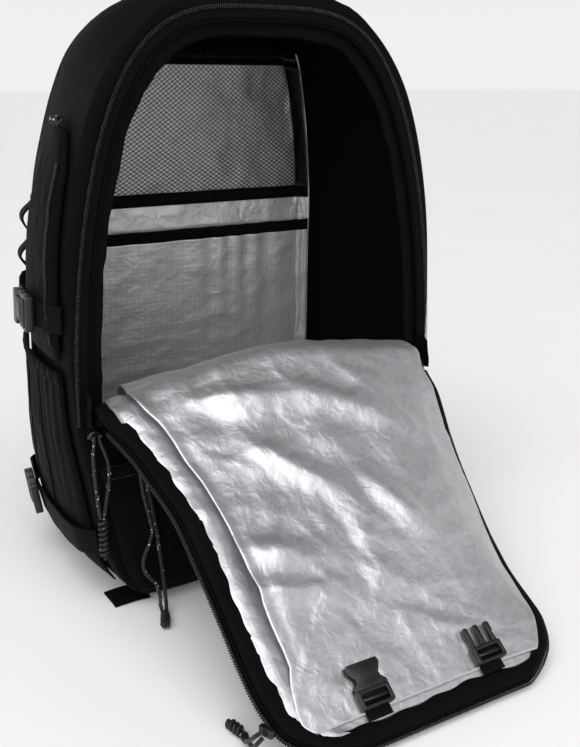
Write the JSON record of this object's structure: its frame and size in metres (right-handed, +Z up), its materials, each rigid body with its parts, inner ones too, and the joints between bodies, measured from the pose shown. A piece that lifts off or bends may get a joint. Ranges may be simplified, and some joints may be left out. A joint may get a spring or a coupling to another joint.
{
  "type": "travel backpack",
  "caption": "Upright clamshell travel backpack, its front panel unzipped and folded down to the floor, with a metallised lining, inner pockets, side straps and shoulder straps.",
  "frame": {"origin": "on the floor, in the flat face that the bag stands on", "axes": "+Z up, the open front faces -Y, the back panel with its shoulder straps faces +Y, +X to the right seen from the front"},
  "size_m": [0.3924, 0.5027, 0.5233],
  "materials": {
    "nylon_cloth": "matte woven",
    "lining_cloth": "matte woven",
    "webbing": "matte woven",
    "silver_film": "crinkled metallised film",
    "silver_ripstop": "crinkled metallised ripstop",
    "net": "open mesh",
    "coil_zip": "satin",
    "acetal": "satin",
    "cord": "braided"
  },
  "bodies": {
    "root": {"back_liner": "silver_film", "back_pad": "nylon_cloth", "base_tab": "webbing", "body_shell": "nylon_cloth", "buckle_female": "acetal", "buckle_lower_left": "acetal", "buckle_lower_right": "acetal", "buckle_male": "acetal", "buckle_upper_left": "acetal", "buckle_upper_right": "acetal", "daisy_chain_left": "webbing", "daisy_chain_right": "webbing", "female_tab": "webbing", "flap_facing": "lining_cloth", "flap_liner": "silver_film", "flap_panel": "nylon_cloth", "flap_pull_a": "cord", "flap_pull_b": "cord", "flap_pull_knot": "cord", "flap_zip": "coil_zip", "front_pocket": "nylon_cloth", "harness_webbing_left": "webbing", "harness_webbing_right": "webbing", "hinge_gusset_left": "nylon_cloth", "hinge_gusset_right": "nylon_cloth", "lower_pocket_left": "nylon_cloth", "lower_pocket_right": "nylon_cloth", "male_tab": "webbing", "mesh_pocket": "net", "mesh_pocket_hem": "lining_cloth", "mesh_pocket_zip": "coil_zip", "mouth_facing": "lining_cloth", "mouth_zip": "coil_zip", "pocket_pull_knot": "cord", "pull_anchor": "webbing", "pull_loop": "acetal", "shoulder_strap_left": "nylon_cloth", "shoulder_strap_right": "nylon_cloth", "side_pocket_left": "nylon_cloth", "side_pocket_right": "nylon_cloth", "side_pull_a": "cord", "side_pull_b": "cord", "side_pull_knot": "cord", "slider_flap": "acetal", "slider_tip": "acetal", "slip_pocket": "silver_ripstop", "slip_pocket_hem": "lining_cloth", "strap_lower_left": "webbing", "strap_lower_right": "webbing", "strap_upper_left": "webbing", "strap_upper_right": "webbing", "tip_pull_a": "cord", "tip_pull_b": "cord", "tip_pull_knot": "cord", "top_handle": "webbing"}
  },
  "joints": []
}
